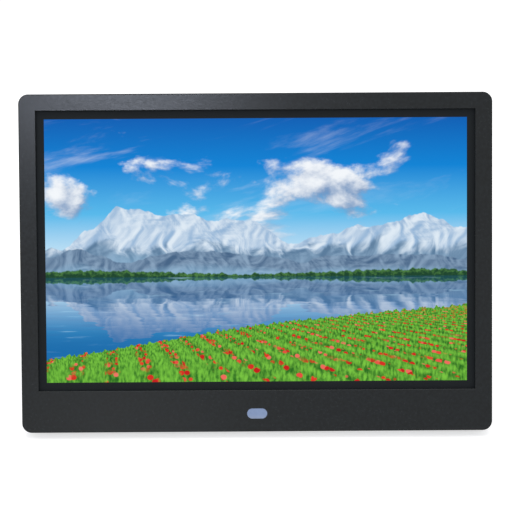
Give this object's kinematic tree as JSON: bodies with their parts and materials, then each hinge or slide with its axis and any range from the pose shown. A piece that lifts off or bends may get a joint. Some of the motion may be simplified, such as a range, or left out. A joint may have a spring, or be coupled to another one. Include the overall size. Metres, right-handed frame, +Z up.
{
  "type": "digital photo frame",
  "caption": "Desktop digital photo frame with a wide black bezel, a recessed flat display and an infrared window, leaning back on a fold-out rear stand.",
  "frame": {"origin": "on the surface the frame stands on, under the middle of its bounding box", "axes": "+X to the right as seen from the front, +Y from the picture towards the stand, +Z up"},
  "size_m": [0.2426, 0.0706, 0.17],
  "materials": {
    "bezel_plastic": "fine-grained black ABS",
    "cover_plastic": "grained black ABS",
    "stand_plastic": "satin black ABS",
    "key_plastic": "satin black ABS",
    "window_plastic": "milky pale blue infrared window",
    "foam": "black foam",
    "display_glass": "matte anti-glare display glass",
    "white_plastic": "white polycarbonate and film",
    "clear_plastic": "clear acrylic",
    "tray_steel": "galvanised sheet",
    "circuit_board": "green solder mask",
    "flex_film": "amber polyimide",
    "chip_plastic": "black epoxy",
    "light_emitter": "phosphor-filled silicone",
    "connector_plastic": "ivory nylon",
    "capacitor_can": "plain can",
    "inductor_core": "dark ferrite",
    "socket_steel": "tin-plated sheet",
    "socket_plastic": "black nylon",
    "contact_metal": "plated brass",
    "speaker_steel": "black zinc",
    "speaker_paper": "black pulp cone",
    "speaker_magnet": "ferrite and plated yoke",
    "cable_sheath": "black PVC",
    "pin_steel": "drawn steel",
    "foot_rubber": "matte black rubber",
    "screw_steel": "black zinc"
  },
  "bodies": {
    "frame": {"front_bezel": "bezel_plastic", "ir_window": "window_plastic", "lcd_gasket": "foam", "lcd_cell": "display_glass", "optical_films": "white_plastic", "light_guide": "clear_plastic", "reflector_sheet": "white_plastic", "lcd_mould_frame": "white_plastic", "led_strip": "flex_film", "backlight_leds": "light_emitter", "lcd_tray": "tray_steel", "lcd_driver_board": "circuit_board", "lcd_flexes": "flex_film", "lcd_brackets": "tray_steel", "ir_board": "circuit_board", "ir_receiver": "chip_plastic", "main_board": "circuit_board", "board_chips": "chip_plastic", "board_capacitors": "capacitor_can", "power_inductor": "inductor_core", "wire_headers": "connector_plastic", "display_connectors": "connector_plastic", "display_ribbon": "flex_film", "card_socket": "socket_plastic", "card_socket_shield": "socket_steel", "usb_socket": "socket_steel", "usb_insulator": "socket_plastic", "headphone_jack": "socket_plastic", "dc_jack": "socket_plastic", "dc_jack_pin": "contact_metal", "speaker_gaskets": "foam", "speaker_frames": "speaker_steel", "speaker_cones": "speaker_paper", "speaker_magnets": "speaker_magnet", "speaker_cables": "cable_sheath", "key_board": "circuit_board", "key_switches": "chip_plastic", "key_cable": "cable_sheath", "ir_cable": "cable_sheath", "rear_cover": "cover_plastic", "stand_pin": "pin_steel", "stand_pin_clip": "pin_steel", "rubber_feet": "foot_rubber", "case_screws": "screw_steel", "bracket_screws": "screw_steel", "board_screws": "screw_steel"},
    "stand": {"stand_leg": "stand_plastic", "stand_pad": "foot_rubber"},
    "power_button": {"power_key": "key_plastic", "power_switch_plunger": "chip_plastic"},
    "menu_button": {"menu_key": "key_plastic", "menu_switch_plunger": "chip_plastic"},
    "previous_button": {"previous_key": "key_plastic", "previous_switch_plunger": "chip_plastic"},
    "next_button": {"next_key": "key_plastic", "next_switch_plunger": "chip_plastic"},
    "enter_button": {"enter_key": "key_plastic", "enter_switch_plunger": "chip_plastic"},
    "exit_button": {"exit_key": "key_plastic", "exit_switch_plunger": "chip_plastic"}
  },
  "joints": [
    {"name": "stand_hinge", "type": "hinge", "parent": "frame", "child": "stand", "pos_m": [0, 0.01277, 0.09359], "axis": [1, 0, 0], "range_deg": [-28, 0]},
    {"name": "power_press", "type": "slide", "parent": "frame", "child": "power_button", "axis": [0, -0.9563, 0.2924], "range_m": [0, 0.0005], "stiffness_N_per_m": 800, "springref_m": -0.001},
    {"name": "menu_press", "type": "slide", "parent": "frame", "child": "menu_button", "axis": [0, -0.9563, 0.2924], "range_m": [0, 0.0005], "stiffness_N_per_m": 800, "springref_m": -0.001},
    {"name": "previous_press", "type": "slide", "parent": "frame", "child": "previous_button", "axis": [0, -0.9563, 0.2924], "range_m": [0, 0.0005], "stiffness_N_per_m": 800, "springref_m": -0.001},
    {"name": "next_press", "type": "slide", "parent": "frame", "child": "next_button", "axis": [0, -0.9563, 0.2924], "range_m": [0, 0.0005], "stiffness_N_per_m": 800, "springref_m": -0.001},
    {"name": "enter_press", "type": "slide", "parent": "frame", "child": "enter_button", "axis": [0, -0.9563, 0.2924], "range_m": [0, 0.0005], "stiffness_N_per_m": 800, "springref_m": -0.001},
    {"name": "exit_press", "type": "slide", "parent": "frame", "child": "exit_button", "axis": [0, -0.9563, 0.2924], "range_m": [0, 0.0005], "stiffness_N_per_m": 800, "springref_m": -0.001}
  ]
}
